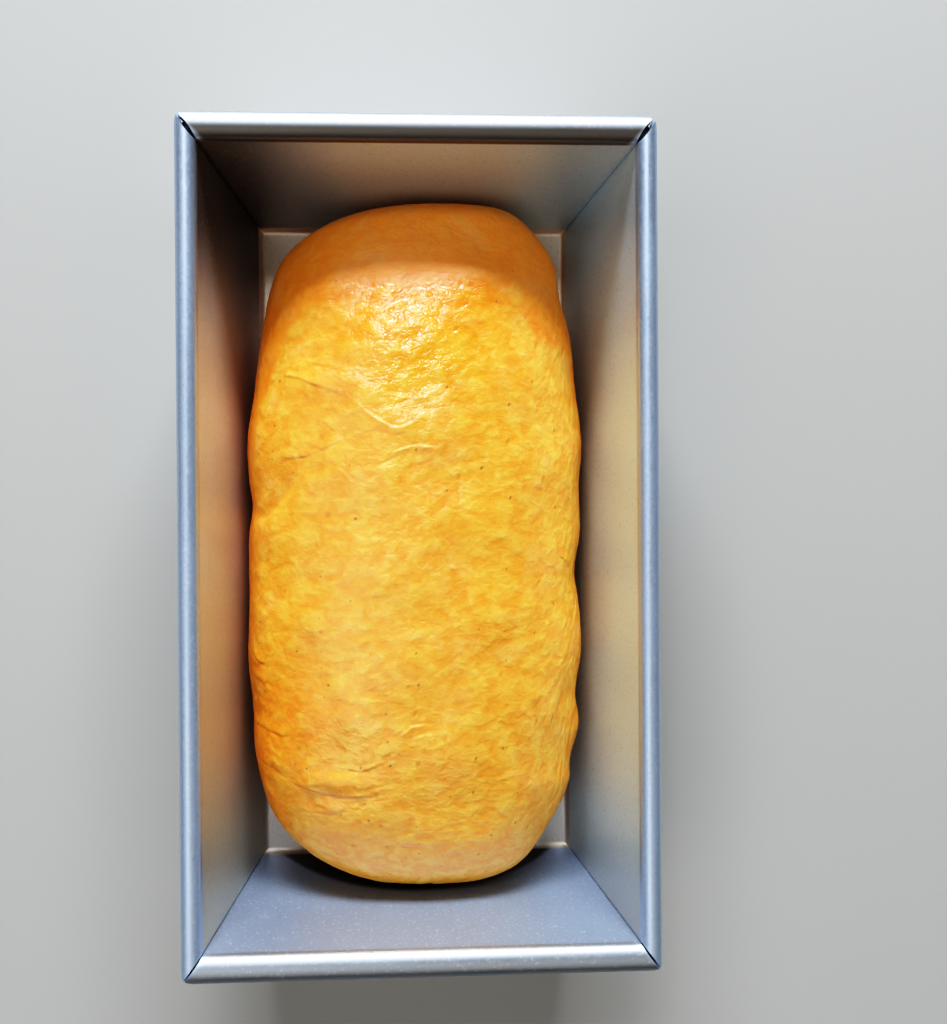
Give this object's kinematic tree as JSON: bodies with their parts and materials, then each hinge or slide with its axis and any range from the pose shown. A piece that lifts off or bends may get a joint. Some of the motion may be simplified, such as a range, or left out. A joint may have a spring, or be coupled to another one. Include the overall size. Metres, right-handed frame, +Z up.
{
  "type": "unbaked pumpkin yeast bread loaf in its tin",
  "caption": "Smooth orange-yellow log of raw pumpkin yeast dough lying in a plain folded-metal loaf tin with sloping walls, a flat base and a mitred rolled rim.",
  "frame": {"origin": "middle of the tin's footprint, on the surface that it stands on", "axes": "+X across the tin, +Y along the loaf towards the end that is at the top of the picture, +Z up"},
  "size_m": [0.1354, 0.2426, 0.07],
  "materials": {
    "tin_metal": "satin, finely speckled light grey metal",
    "dough_skin": "moist, softly shining orange-yellow dough with fine stretch marks"
  },
  "bodies": {
    "root": {"tin": "tin_metal", "dough": "dough_skin"}
  },
  "joints": []
}
